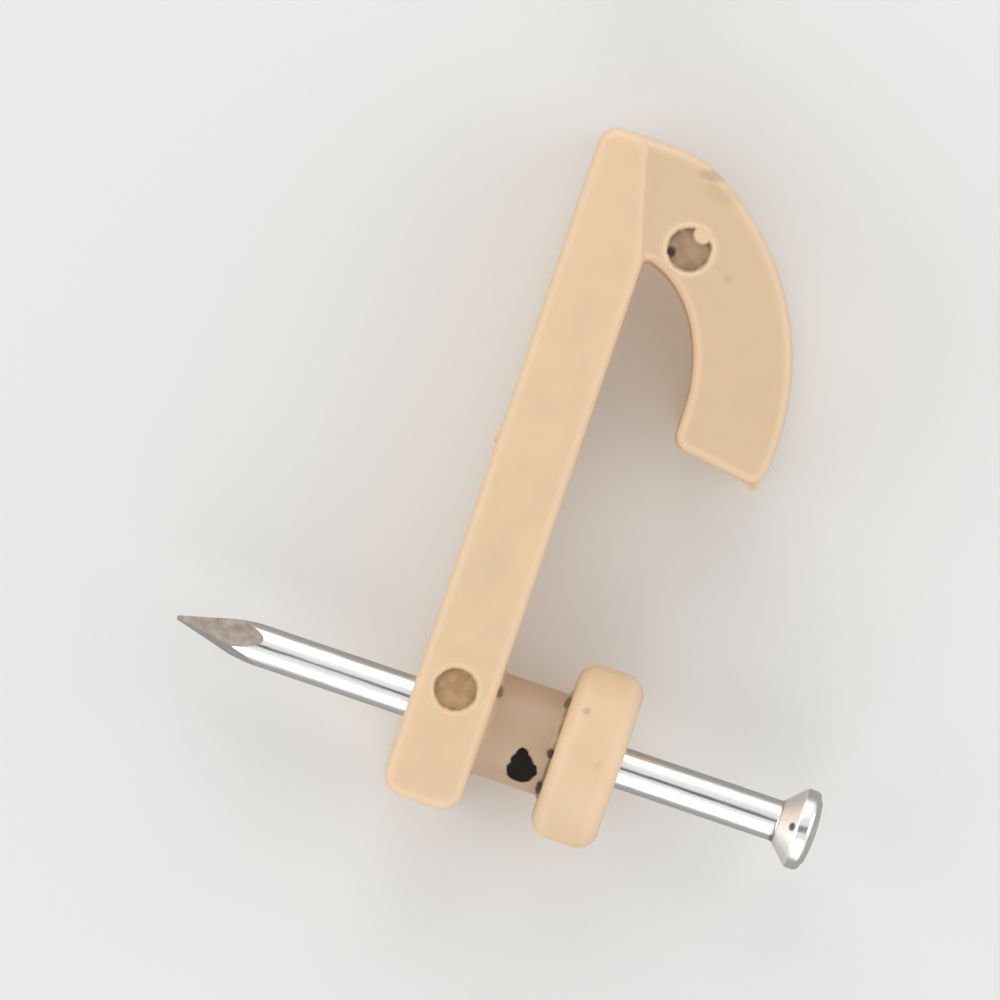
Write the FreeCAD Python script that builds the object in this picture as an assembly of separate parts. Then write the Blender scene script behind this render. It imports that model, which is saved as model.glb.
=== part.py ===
import FreeCAD, Part
import math
import os

# Picture hook for a wall: one moulded plastic hook and the steel nail that its spool guides.
#
# Frame, in millimetres. The wall is the plane Y = 0 and the nail points into it along +Y.
# The hook stands in front of the wall, on the -Y side, with +Z up and X across its width.
# The origin is where the nail's axis passes through the back of the bar.
# "Front" is a distance in front of the wall, and "height" is a Z.

# Bar: the straight back of the hook. Beside the arm it thins towards its foot.
HOOK_WIDTH = 5.0
BAR_THICKNESS = 2.4
BAR_FOOT_THICKNESS = 1.45
BAR_KNEE_RADIUS = 1.5
BAR_LENGTH = 20.75
BAR_ABOVE_NAIL = 2.85
TOP_CORNER_RADIUS = 0.65
BOTTOM_CORNER_RADIUS = 0.55
EDGE_RADIUS = 0.4

# Arm: the curved part that carries the picture's wire or ring, a little narrower than the bar.
# Its root lies inside the bar, just under the bar's front face.
ARM_WIDTH = 4.7
ARM_ROOT_RISE = 1.5
ARM_ROOT_COVER = 0.02
ARM_REACH = 7.9
FOOT_LENGTH = 2.9
HEEL_RADIUS = 3.0
THROAT_WIDTH = 2.55
THROAT_DEPTH = 3.97
THROAT_INSET = 0.3
NOTCH_RADIUS = 0.2
TIP_RISE = 1.0
TIP_SLANT_DEG = 8.0
TIP_INNER_RADIUS = 0.5
TIP_OUTER_RADIUS = 0.45

# Spool: the neck and the round collar that guide the nail
NECK_DIAMETER = 3.1
NECK_LENGTH = 2.15
NECK_FILLET = 0.2
COLLAR_DIAMETER = 5.35
COLLAR_THICKNESS = 2.0
COLLAR_EDGE_RADIUS = 0.58

# Marks that the mould leaves: two ejector pins on one side and the gate on the back
EJECTOR_DIAMETER = 1.3
EJECTOR_DEPTH = 0.15
EJECTOR_TAPER = 0.07
UPPER_EJECTOR_DROP = 0.67
LOWER_EJECTOR_BEFORE_BAR = 1.15
LOWER_EJECTOR_DROP = 0.65
GATE_DIAMETER = 0.6
GATE_HEIGHT = 0.12
GATE_TAPER = 0.08
GATE_DROP = 8.2

# Nail: standing part way in, as it is sold
NAIL_DIAMETER = 1.25
NAIL_LENGTH = 20.0
NAIL_BEYOND_WALL = 7.3
NAIL_CLEARANCE = 0.02
HEAD_DIAMETER = 2.45
HEAD_CROWN = 0.16
HEAD_RIM = 0.45
HEAD_CONE = 0.6
HEAD_EDGE_RADIUS = 0.2
POINT_LENGTH = 2.65
POINT_FLAT = 0.1
POINT_TURN_DEG = 28.0

# A rounding is held to these shares of the corner or the wall that it rounds
CORNER_SHARE = 0.9
WALL_SHARE = 0.45

# Places that several pieces share. The arm's outer circle has its centre on the wall and passes
# through the end of the flat foot, so foot and reach give the centre's height.
BAR_TOP = BAR_ABOVE_NAIL
BAR_BOTTOM = BAR_TOP - BAR_LENGTH
ARM_CENTRE = BAR_BOTTOM + math.sqrt(ARM_REACH**2 - FOOT_LENGTH**2)
COLLAR_BACK = BAR_THICKNESS + NECK_LENGTH
COLLAR_FRONT = COLLAR_BACK + COLLAR_THICKNESS
HEAD_FRONT = NAIL_LENGTH - NAIL_BEYOND_WALL
NAIL_RADIUS = NAIL_DIAMETER / 2

TO_WALL = FreeCAD.Vector(0, 1, 0)
FROM_WALL = FreeCAD.Vector(0, -1, 0)
ACROSS = FreeCAD.Vector(1, 0, 0)
SAME = 1e-4


def place(front, height, across=0.0):
    """A point given by its distance in front of the wall, its height and its place across the width."""
    return FreeCAD.Vector(across, -front, height)


def tip_outer_corner(inner):
    """Where the slanted end of the arm, drawn from its inner corner, meets the arm's outer circle."""
    slant = math.radians(TIP_SLANT_DEG)
    front, height = -inner.y, inner.z - ARM_CENTRE
    along = front * math.cos(slant) + height * math.sin(slant)
    run = -along + math.sqrt(along**2 - front**2 - height**2 + ARM_REACH**2)
    return place(front + run * math.cos(slant), inner.z + run * math.sin(slant))


def notch_corner():
    """Where the inside of the arm meets the front of its root, just inside the bar."""
    half_width = THROAT_WIDTH + THROAT_INSET
    inset = (THROAT_INSET - ARM_ROOT_COVER) / half_width
    return place(BAR_THICKNESS - ARM_ROOT_COVER, ARM_CENTRE - THROAT_DEPTH * math.sqrt(1 - inset**2))


def bar_corners():
    """The corners of the bar's side outline, before they are rounded."""
    return {
        "back_top": place(0, BAR_TOP),
        "back_bottom": place(0, BAR_BOTTOM),
        "front_bottom": place(BAR_FOOT_THICKNESS, BAR_BOTTOM),
        "knee": place(BAR_THICKNESS, notch_corner().z),
        "front_top": place(BAR_THICKNESS, BAR_TOP),
    }


def arm_corners():
    """The corners of the arm's side outline with its root in the bar, before they are rounded."""
    mouth_front = BAR_THICKNESS + THROAT_WIDTH
    root_back = BOTTOM_CORNER_RADIUS
    notch = notch_corner()
    root_top = notch.z + ARM_ROOT_RISE
    tip_inner = place(mouth_front, ARM_CENTRE + TIP_RISE)
    return {
        "root_bottom": place(root_back, BAR_BOTTOM),
        "heel": place(FOOT_LENGTH, BAR_BOTTOM),
        "tip_outer": tip_outer_corner(tip_inner),
        "tip_inner": tip_inner,
        "mouth": place(mouth_front, ARM_CENTRE),
        "notch": notch,
        "root_front": place(-notch.y, root_top),
        "root_back": place(root_back, root_top),
    }


def throat_curve(corners):
    """The inside of the arm: part of an ellipse, upright at the mouth and nearly level at the notch."""
    centre = place(BAR_THICKNESS - THROAT_INSET, ARM_CENTRE)
    lowest = centre - FreeCAD.Vector(0, 0, THROAT_DEPTH)
    oval = Part.Ellipse(lowest, corners["mouth"], centre)
    ends = sorted(oval.parameter(corners[name]) for name in ("notch", "mouth"))
    return Part.ArcOfEllipse(oval, *ends)


def bar_outline(corners):
    """The closed side outline of the bar, in the plane X = 0."""
    ring = list(corners.values())
    return Part.makePolygon(ring + ring[:1])


def arm_outline(corners):
    """The closed side outline of the arm and its root, in the plane X = 0."""
    arm_centre = place(0, ARM_CENTRE)
    half_way = (corners["heel"] + corners["tip_outer"]) / 2 - arm_centre
    outer_middle = arm_centre + half_way.normalize() * ARM_REACH
    edges = [
        Part.LineSegment(corners["root_bottom"], corners["heel"]),
        Part.Arc(corners["heel"], outer_middle, corners["tip_outer"]),
        Part.LineSegment(corners["tip_outer"], corners["tip_inner"]),
        Part.LineSegment(corners["tip_inner"], corners["mouth"]),
        throat_curve(corners),
        Part.LineSegment(corners["notch"], corners["root_front"]),
        Part.LineSegment(corners["root_front"], corners["root_back"]),
        Part.LineSegment(corners["root_back"], corners["root_bottom"]),
    ]
    return Part.Wire(Part.__sortEdges__([edge.toShape() for edge in edges]))


def edges_across(shape, corner):
    """The edges that run across the width at one corner of the outline."""
    found = []
    for edge in shape.Edges:
        box = edge.BoundBox
        level = box.YLength < SAME and box.ZLength < SAME
        if level and math.hypot(box.YMin - corner.y, box.ZMin - corner.z) < SAME:
            found.append(edge)
    return found


def side_edges(shape, width):
    """The edges that border the two flat sides of a strip of one width."""
    found = []
    for edge in shape.Edges:
        box = edge.BoundBox
        if box.XLength < SAME and abs(abs(box.XMin) - width / 2) < SAME:
            found.append(edge)
    return found


def ring_edges(shape, front, radius):
    """The circles of one radius about the nail's axis, at one distance from the wall."""
    found = []
    for edge in shape.Edges:
        if edge.Degenerated or not isinstance(edge.Curve, Part.Circle):
            continue
        centred = (edge.Curve.Center - place(front, 0)).Length < SAME
        if centred and abs(edge.Curve.Radius - radius) < SAME:
            found.append(edge)
    return found


def rounded_strip(outline, width, corners, corner_radii):
    """An outline drawn out to a width, with rounded corners and side edges."""
    face = Part.Face(outline)
    face.translate(-ACROSS * width / 2)
    strip = face.extrude(ACROSS * width)
    for name, radius in corner_radii.items():
        strip = strip.makeFillet(radius, edges_across(strip, corners[name]))
    tightest = min(TOP_CORNER_RADIUS, BOTTOM_CORNER_RADIUS, TIP_OUTER_RADIUS, TIP_INNER_RADIUS)
    edge_radius = min(EDGE_RADIUS, CORNER_SHARE * tightest)
    return strip.makeFillet(edge_radius, side_edges(strip, width))


def bar_and_arm():
    """The J-shaped strip: the bar, and the narrower arm that grows out of its foot."""
    bar_radii = {
        "back_top": TOP_CORNER_RADIUS,
        "front_top": TOP_CORNER_RADIUS,
        "back_bottom": BOTTOM_CORNER_RADIUS,
        "front_bottom": BOTTOM_CORNER_RADIUS,
        "knee": BAR_KNEE_RADIUS,
    }
    arm_radii = {
        "heel": HEEL_RADIUS,
        "tip_outer": TIP_OUTER_RADIUS,
        "tip_inner": TIP_INNER_RADIUS,
        "notch": NOTCH_RADIUS,
    }
    bar_points = bar_corners()
    arm_points = arm_corners()
    bar = rounded_strip(bar_outline(bar_points), HOOK_WIDTH, bar_points, bar_radii)
    arm = rounded_strip(arm_outline(arm_points), ARM_WIDTH, arm_points, arm_radii)
    return bar.fuse(arm).removeSplitter()


def with_spool(strip):
    """The strip with the spool that stands on the front of the bar, round the nail's axis."""
    neck_root = BAR_THICKNESS / 2
    neck = Part.makeCylinder(
        NECK_DIAMETER / 2, COLLAR_BACK - neck_root, place(neck_root, 0), FROM_WALL
    )
    collar = Part.makeCylinder(
        COLLAR_DIAMETER / 2, COLLAR_THICKNESS, place(COLLAR_BACK, 0), FROM_WALL
    )
    body = strip.fuse([neck, collar]).removeSplitter()
    for front in (BAR_THICKNESS, COLLAR_BACK):
        body = body.makeFillet(NECK_FILLET, ring_edges(body, front, NECK_DIAMETER / 2))
    rim_radius = min(COLLAR_EDGE_RADIUS, WALL_SHARE * COLLAR_THICKNESS)
    for front in (COLLAR_BACK, COLLAR_FRONT):
        body = body.makeFillet(rim_radius, ring_edges(body, front, COLLAR_DIAMETER / 2))
    return body


def ejector_mark(front, height, width):
    """The shallow tapered dish that an ejector pin leaves on the +X side of a strip of one width."""
    radius = EJECTOR_DIAMETER / 2
    floor = place(front, height, width / 2 - EJECTOR_DEPTH)
    return Part.makeCone(radius - EJECTOR_TAPER, radius, EJECTOR_DEPTH, floor, ACROSS)


def gate_stub():
    """The low stub left on the back of the bar where the moulding was cut from its runner."""
    radius = GATE_DIAMETER / 2
    root = BAR_THICKNESS / 2
    stem = Part.makeCylinder(radius, root, place(root, -GATE_DROP), TO_WALL)
    nub = Part.makeCone(
        radius, radius - GATE_TAPER, GATE_HEIGHT, place(0, -GATE_DROP), TO_WALL
    )
    return stem.fuse(nub)


def make_hook_body():
    """The whole moulding, with the nail's bore and the marks of the mould."""
    body = with_spool(bar_and_arm()).fuse(gate_stub()).removeSplitter()
    bore = Part.makeCylinder(
        NAIL_RADIUS + NAIL_CLEARANCE, COLLAR_FRONT, place(COLLAR_FRONT, 0), TO_WALL
    )
    lower_front = BAR_THICKNESS + LOWER_EJECTOR_BEFORE_BAR
    lower_height = notch_corner().z - LOWER_EJECTOR_DROP
    marks = [
        ejector_mark(BAR_THICKNESS / 2, -UPPER_EJECTOR_DROP, HOOK_WIDTH),
        ejector_mark(lower_front, lower_height, ARM_WIDTH),
    ]
    return body.cut([bore] + marks).Solids[0]


def nail_profile():
    """Half of the nail's lengthwise section: crowned head, coned underside and straight shank."""
    head_radius = HEAD_DIAMETER / 2
    crown_radius = (head_radius**2 + HEAD_CROWN**2) / (2 * HEAD_CROWN)
    half_out = head_radius / 2
    half_drop = crown_radius - math.sqrt(crown_radius**2 - half_out**2)
    rim_front = HEAD_FRONT - HEAD_CROWN
    top = place(HEAD_FRONT, 0)
    crown_middle = place(HEAD_FRONT - half_drop, 0, half_out)
    rim_outer = place(rim_front, 0, head_radius)
    rim_inner = place(rim_front - HEAD_RIM, 0, head_radius)
    neck = place(rim_front - HEAD_RIM - HEAD_CONE, 0, NAIL_RADIUS)
    end_outer = place(-NAIL_BEYOND_WALL, 0, NAIL_RADIUS)
    end = place(-NAIL_BEYOND_WALL, 0)
    crown = Part.Arc(top, crown_middle, rim_outer).toShape()
    rest = Part.makePolygon([rim_outer, rim_inner, neck, end_outer, end, top])
    return Part.Face(Part.Wire([crown] + rest.Edges))


def diamond(apothem, front):
    """A square about the nail's axis, turned as the point is, at one distance from the wall."""
    reach = apothem * math.sqrt(2)
    corners = []
    for quarter in range(4):
        angle = math.radians(POINT_TURN_DEG + 90 * quarter)
        corners.append(place(front, reach * math.sin(angle), reach * math.cos(angle)))
    return Part.makePolygon(corners + corners[:1])


def point_form():
    """A four-sided pyramid from the tip past the head; its sides cut the facets of the point."""
    tip_apothem = POINT_FLAT / 2
    slope = (NAIL_RADIUS - tip_apothem) / POINT_LENGTH
    wide = tip_apothem + slope * NAIL_LENGTH + HEAD_DIAMETER
    long = (wide - tip_apothem) / slope
    tip = diamond(tip_apothem, -NAIL_BEYOND_WALL)
    far_end = diamond(wide, -NAIL_BEYOND_WALL + long)
    return Part.makeLoft([tip, far_end], True, True)


def make_nail():
    """The nail: turned form with a crowned head, and a point of four facets."""
    turned = nail_profile().revolve(place(0, 0), TO_WALL, 360)
    rim_front = HEAD_FRONT - HEAD_CROWN
    edge_radius = min(HEAD_EDGE_RADIUS, WALL_SHARE * HEAD_RIM)
    for front in (rim_front, rim_front - HEAD_RIM):
        turned = turned.makeFillet(edge_radius, ring_edges(turned, front, HEAD_DIAMETER / 2))
    return turned.common(point_form()).Solids[0]


os.makedirs("parts", exist_ok=True)
PIECES = {"hook_body": make_hook_body(), "nail": make_nail()}
for node, piece in PIECES.items():
    piece.exportStep(f"parts/{node}.step")
    print(f"{node}: valid {piece.isValid()}, volume {piece.Volume:.3f} mm3, faces {len(piece.Faces)}")
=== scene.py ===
# %% [markdown]
# # A moulded picture hook and its nail
#
# This lesson dresses a small wall hook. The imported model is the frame: it says where the hook and the
# nail are and how large they are, and nothing here moves or resizes it. The hook is one plastic
# moulding and the nail is one steel pin, so the lesson models two pieces, gives each its finish, and
# then sets up a floor, lamps and a camera.

# %% Load the fixed frame
import math

import bmesh
import bpy
from mathutils import Matrix, Vector


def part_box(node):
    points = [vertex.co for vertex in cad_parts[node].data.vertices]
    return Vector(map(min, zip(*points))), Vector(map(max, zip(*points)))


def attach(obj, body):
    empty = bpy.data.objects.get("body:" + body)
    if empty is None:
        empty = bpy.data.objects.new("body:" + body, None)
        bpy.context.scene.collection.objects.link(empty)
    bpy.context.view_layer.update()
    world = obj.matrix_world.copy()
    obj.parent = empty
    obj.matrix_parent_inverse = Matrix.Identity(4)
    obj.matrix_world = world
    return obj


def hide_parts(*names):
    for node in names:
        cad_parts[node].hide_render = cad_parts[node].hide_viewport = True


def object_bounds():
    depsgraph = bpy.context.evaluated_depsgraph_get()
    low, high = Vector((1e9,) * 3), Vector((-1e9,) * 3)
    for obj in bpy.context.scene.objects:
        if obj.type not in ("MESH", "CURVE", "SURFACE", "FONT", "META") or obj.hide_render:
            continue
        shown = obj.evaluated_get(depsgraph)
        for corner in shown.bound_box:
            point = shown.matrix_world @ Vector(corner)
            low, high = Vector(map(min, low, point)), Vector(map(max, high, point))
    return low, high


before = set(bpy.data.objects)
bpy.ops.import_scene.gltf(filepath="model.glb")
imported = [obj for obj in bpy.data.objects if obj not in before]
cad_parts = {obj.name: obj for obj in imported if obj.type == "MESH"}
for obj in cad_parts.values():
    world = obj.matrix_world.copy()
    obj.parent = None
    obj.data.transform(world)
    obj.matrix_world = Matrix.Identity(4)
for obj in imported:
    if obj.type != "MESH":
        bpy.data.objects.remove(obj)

cad_low, cad_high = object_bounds()
print("CAD nodes:", sorted(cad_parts))

# %% [markdown]
# ## Millimetres first, metres last
#
# The hook is about 20 mm tall, and Blender's mesh operators have small built-in tolerances that suit
# larger things. So both pieces are modelled with one unit for a millimetre, and the last step of each
# shrinks it to metres. The sizes that the frame knows are read from it. The wall is the plane Y = 0,
# and the hook stands on its -Y side, so the helper `at` takes a distance in front of the wall.

# %% Read the main sizes from the frame
MM = 0.001
hook_low, hook_high = [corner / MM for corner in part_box("hook_body")]
nail_low, nail_high = [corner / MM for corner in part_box("nail")]

bar_top, bar_bottom = hook_high.z, hook_low.z
arm_reach = -hook_low.y
collar_radius = hook_high.x
head_front, head_radius = -nail_low.y, nail_high.x
tip_behind_wall = nail_high.y


def at(front, height, across=0.0):
    """A point by its distance in front of the wall, its height and its place across the width."""
    return Vector((across, -front, height))


print(f"Hook {bar_top - bar_bottom:.2f} mm tall, reach {arm_reach:.2f} mm")
print(f"Nail {head_front + tip_behind_wall:.2f} mm long")

# %% [markdown]
# ## Drawing an outline by walking
#
# The hook's side and both turned forms are outlines of straight runs and arcs. A curve object could
# hold them, but two bmesh operators are enough: extruding the last vertex draws a straight run, and
# spinning it about a centre draws an arc. Each helper returns the new end, so an outline is a walk.

# %% Straight runs and arcs
TURN_AXIS = (-1, 0, 0)
TOUCH = 1e-4


def straight(bm, end, front, height):
    """Walk on in a straight run and give the new end."""
    new_end = bmesh.ops.extrude_vert_indiv(bm, verts=[end])["verts"][0]
    new_end.co = at(front, height)
    return new_end


def arc(bm, end, centre, angle, steps):
    """Walk on along an arc about a centre, to the left for a positive angle, and give the new end."""
    made = bmesh.ops.spin(
        bm, geom=[end], cent=centre, axis=TURN_AXIS, angle=angle, steps=steps, use_merge=False
    )
    return made["geom_last"][0]


def corner(bm, end, radius, heading, turn, steps):
    """Walk on round a corner, from a heading in degrees where 0 is away from the wall and 90 is up."""
    side = math.radians(heading + math.copysign(90, turn))
    centre = end.co + at(radius * math.cos(side), radius * math.sin(side))
    return arc(bm, end, centre, math.radians(turn), steps)


# %% [markdown]
# ## The strip: bar and arm
#
# The strip is the J that everything sits on: a bar, and an arm that is a little narrower and grows out
# of the bar's foot. The arm's outer curve is one arc about a point on the wall, and its inside is part
# of an ellipse, which is an arc that is stretched upright. The corners are walked as small arcs that
# touch both neighbours, because a bevel on a finely divided curve has no room to work. The arm's walk
# starts at the mouth of the throat, while the ellipse is still alone in the mesh and can be stretched
# with one transform.

# %% Sizes of the strip
BAR_WIDTH = 5.0
BAR_THICKNESS = 2.4
BAR_FOOT_THICKNESS = 1.45
KNEE_RADIUS = 1.5
TOP_RADIUS = 0.65
BOTTOM_RADIUS = 0.55
EDGE_RADIUS = 0.4
ARM_WIDTH = 4.7
ROOT_RISE = 1.5
ROOT_COVER = 0.02
FOOT_LENGTH = 2.9
HEEL_RADIUS = 3.0
THROAT_WIDTH = 2.55
THROAT_DEPTH = 3.97
THROAT_INSET = 0.3
NOTCH_RADIUS = 0.2
TIP_RISE = 1.0
TIP_SLANT = 8.0
TIP_INNER_RADIUS = 0.5
TIP_OUTER_RADIUS = 0.45
OUTER_STEPS = 64
THROAT_STEPS = 48
HEEL_STEPS = 14
CORNER_STEPS = 12
SMALL_STEPS = 10
RIM_STEPS = 8
KNEE_STEPS = 4
SEEK_ROUNDS = 6

bar_side = BAR_WIDTH / 2
arm_side = ARM_WIDTH / 2
mouth_front = BAR_THICKNESS + THROAT_WIDTH
root_front = BAR_THICKNESS - ROOT_COVER
arm_centre = bar_bottom + math.sqrt(arm_reach**2 - FOOT_LENGTH**2)
root_share = (THROAT_INSET - ROOT_COVER) / (THROAT_WIDTH + THROAT_INSET)
notch_height = arm_centre - THROAT_DEPTH * math.sqrt(1 - root_share**2)
print(f"The arm's outer arc has its centre at height {arm_centre:.2f} mm")
print(f"The throat ends in a notch at height {notch_height:.2f} mm")


# %% The throat and its notch
def throat(bm):
    """The inside of the arm, down to the small round notch where it meets the bar.

    The notch's arc has to touch the ellipse and the bar. A few rounds of correction find where.
    """
    across_half = THROAT_WIDTH + THROAT_INSET
    stretch = THROAT_DEPTH / across_half
    centre = at(BAR_THICKNESS - THROAT_INSET, arm_centre)
    notch_inset = THROAT_INSET - ROOT_COVER
    swing = math.acos(notch_inset / across_half)
    for _ in range(SEEK_ROUNDS):
        outwards = Vector((math.cos(swing) * stretch, -math.sin(swing))).normalized()
        swing = math.acos((notch_inset + NOTCH_RADIUS * (1 + outwards.x)) / across_half)
    mouth = bm.verts.new(at(mouth_front, arm_centre))
    end = arc(bm, mouth, centre, -swing, THROAT_STEPS)
    upright = Matrix.Translation(centre) @ Matrix.Diagonal((1, 1, stretch, 1))
    bmesh.ops.transform(bm, verts=bm.verts, matrix=upright @ Matrix.Translation(-centre))
    notch_turn = math.pi + math.atan2(outwards.y, outwards.x)
    notch_centre = end.co - at(*outwards) * NOTCH_RADIUS
    return mouth, arc(bm, end, notch_centre, -notch_turn, SMALL_STEPS)


# %% The heel, the outer arc and the tip
def heel_and_tip(bm, end):
    """The outside of the arm, from the flat foot to the rounded end of the tip."""
    heel_height = bar_bottom + HEEL_RADIUS
    drop = arm_centre - heel_height
    heel_front = math.sqrt((arm_reach - HEEL_RADIUS) ** 2 - drop**2)
    heel_turn = math.degrees(math.atan2(heel_front, drop))
    end = straight(bm, end, heel_front, bar_bottom)
    end = corner(bm, end, HEEL_RADIUS, 0, heel_turn, HEEL_STEPS)

    slant = math.radians(TIP_SLANT)
    along = at(math.cos(slant), math.sin(slant))
    below = at(math.sin(slant), -math.cos(slant))
    tip_inner = at(mouth_front, arm_centre + TIP_RISE)
    start = tip_inner + below * TIP_OUTER_RADIUS - at(0, arm_centre)
    near = start.dot(along)
    run = -near + math.sqrt(near**2 - start.length_squared + (arm_reach - TIP_OUTER_RADIUS) ** 2)
    tip_centre = start + along * run
    tip_angle = math.degrees(math.atan2(-tip_centre.y, -tip_centre.z))
    end = corner(bm, end, arm_reach, heel_turn, tip_angle - heel_turn, OUTER_STEPS)
    end = corner(bm, end, TIP_OUTER_RADIUS, tip_angle, 180 + TIP_SLANT - tip_angle, CORNER_STEPS)

    inner_turn = 90 - TIP_SLANT
    inner_start = tip_inner + along * TIP_INNER_RADIUS * math.tan(math.radians(inner_turn / 2))
    end = straight(bm, end, -inner_start.y, inner_start.z)
    return corner(bm, end, TIP_INNER_RADIUS, 180 + TIP_SLANT, inner_turn, SMALL_STEPS)


# %% Walk the two outlines
def closed_outline(bm):
    """Join the walk's ends and fill it with one face in the plane X = 0."""
    bmesh.ops.remove_doubles(bm, verts=bm.verts, dist=TOUCH)
    return bmesh.ops.contextual_create(bm, geom=bm.edges[:])["faces"][0]


def arm_outline(bm):
    """The arm, with its root inside the bar."""
    mouth, end = throat(bm)
    end = straight(bm, end, root_front, notch_height + ROOT_RISE)
    end = straight(bm, end, BOTTOM_RADIUS, notch_height + ROOT_RISE)
    end = straight(bm, end, BOTTOM_RADIUS, bar_bottom)
    end = heel_and_tip(bm, end)
    straight(bm, end, mouth_front, arm_centre)
    return closed_outline(bm)


def bar_outline(bm):
    """The bar, which thins from the notch down to its foot."""
    lean_back = math.atan2(BAR_THICKNESS - BAR_FOOT_THICKNESS, notch_height - bar_bottom)
    lean_degrees = math.degrees(lean_back)
    knee_run = KNEE_RADIUS * math.tan(lean_back / 2)
    foot_run = BOTTOM_RADIUS * math.tan((math.pi / 2 - lean_back) / 2)
    start = bm.verts.new(at(BAR_FOOT_THICKNESS - foot_run, bar_bottom))
    end = corner(bm, start, BOTTOM_RADIUS, 0, 90 - lean_degrees, CORNER_STEPS)
    knee_front = BAR_THICKNESS - knee_run * math.sin(lean_back)
    knee_height = notch_height - knee_run * math.cos(lean_back)
    end = straight(bm, end, knee_front, knee_height)
    end = corner(bm, end, KNEE_RADIUS, 90 - lean_degrees, lean_degrees, KNEE_STEPS)
    end = straight(bm, end, BAR_THICKNESS, bar_top - TOP_RADIUS)
    end = corner(bm, end, TOP_RADIUS, 90, 90, CORNER_STEPS)
    end = straight(bm, end, TOP_RADIUS, bar_top)
    end = corner(bm, end, TOP_RADIUS, 180, 90, CORNER_STEPS)
    end = straight(bm, end, 0, bar_bottom + BOTTOM_RADIUS)
    end = corner(bm, end, BOTTOM_RADIUS, 270, 90, CORNER_STEPS)
    straight(bm, end, BAR_FOOT_THICKNESS - foot_run, bar_bottom)
    return closed_outline(bm)


# %% [markdown]
# ## The parting line
#
# The two halves of the mould open across the width, so they meet at X = 0, the only plane that frees a
# round spool. A worn mould leaves a fine ridge there. It is drawn by cutting three lines round the
# form and lifting the middle one a few hundredths of a millimetre along its normals.

# %% A ridge where the mould halves meet
PARTING_HALF_WIDTH = 0.06
PARTING_HEIGHT = 0.025


def parting_ridge(bm):
    """Cut the ridge's two borders and its crest, and lift the crest."""
    for place_across in (-PARTING_HALF_WIDTH, 0, PARTING_HALF_WIDTH):
        bmesh.ops.bisect_plane(
            bm,
            geom=bm.verts[:] + bm.edges[:] + bm.faces[:],
            dist=TOUCH,
            plane_co=(place_across, 0, 0),
            plane_no=(1, 0, 0),
        )
    bm.normal_update()
    crest = [vert for vert in bm.verts if abs(vert.co.x) < TOUCH]
    lifts = [vert.normal * PARTING_HEIGHT for vert in crest]
    for vert, lift in zip(crest, lifts):
        vert.co += lift


# %% Draw an outline out to its width and round its long edges
def drawn_out(walk, width, name):
    """A closed mesh from an outline, with a ridge at the parting line."""
    bm = bmesh.new()
    outline = walk(bm)
    bmesh.ops.translate(bm, verts=bm.verts, vec=(-width / 2, 0, 0))
    made = bmesh.ops.extrude_face_region(bm, geom=[outline])["geom"]
    far_side = [item for item in made if isinstance(item, bmesh.types.BMVert)]
    bmesh.ops.translate(bm, verts=far_side, vec=(width, 0, 0))
    bmesh.ops.recalc_face_normals(bm, faces=bm.faces)
    rims = [
        edge
        for edge in bm.edges
        if abs(abs(edge.verts[0].co.x + edge.verts[1].co.x) - width) < TOUCH
    ]
    bmesh.ops.bevel(
        bm,
        geom=rims,
        offset=EDGE_RADIUS,
        offset_type="OFFSET",
        affect="EDGES",
        segments=RIM_STEPS,
        profile=0.5,
        material=-1,
    )
    parting_ridge(bm)
    mesh = bpy.data.meshes.new(name)
    bm.to_mesh(mesh)
    bm.free()
    return mesh


bar = drawn_out(bar_outline, BAR_WIDTH, "bar")
arm = drawn_out(arm_outline, ARM_WIDTH, "arm")
print("Bar:", len(bar.vertices), "vertices,", len(bar.polygons), "faces")
print("Arm:", len(arm.vertices), "vertices,", len(arm.polygons), "faces")

# %% [markdown]
# ## The spool
#
# The spool guides the nail: a neck and a round collar, turned about the nail's axis. A lathe form like
# this is half an outline, spun right round. The neck flares into the bar and into the collar with
# small fillets, so those arcs are part of the outline, and its foot is buried in the bar.

# %% Turn an outline about the nail's axis
NECK_RADIUS = 1.55
NECK_LENGTH = 2.15
NECK_FILLET = 0.2
COLLAR_THICKNESS = 2.0
COLLAR_EDGE = 0.58
LATHE_STEPS = 128
FILLET_STEPS = 8

collar_back = BAR_THICKNESS + NECK_LENGTH
collar_front = collar_back + COLLAR_THICKNESS


def turn_on_lathe(bm):
    """Spin everything in the mesh right round the nail's axis, and close the poles."""
    bmesh.ops.spin(
        bm,
        geom=bm.verts[:] + bm.edges[:],
        cent=(0, 0, 0),
        axis=(0, 1, 0),
        angle=math.tau,
        steps=LATHE_STEPS,
        use_merge=True,
    )
    bmesh.ops.remove_doubles(bm, verts=bm.verts, dist=TOUCH)
    bmesh.ops.recalc_face_normals(bm, faces=bm.faces)


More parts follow.
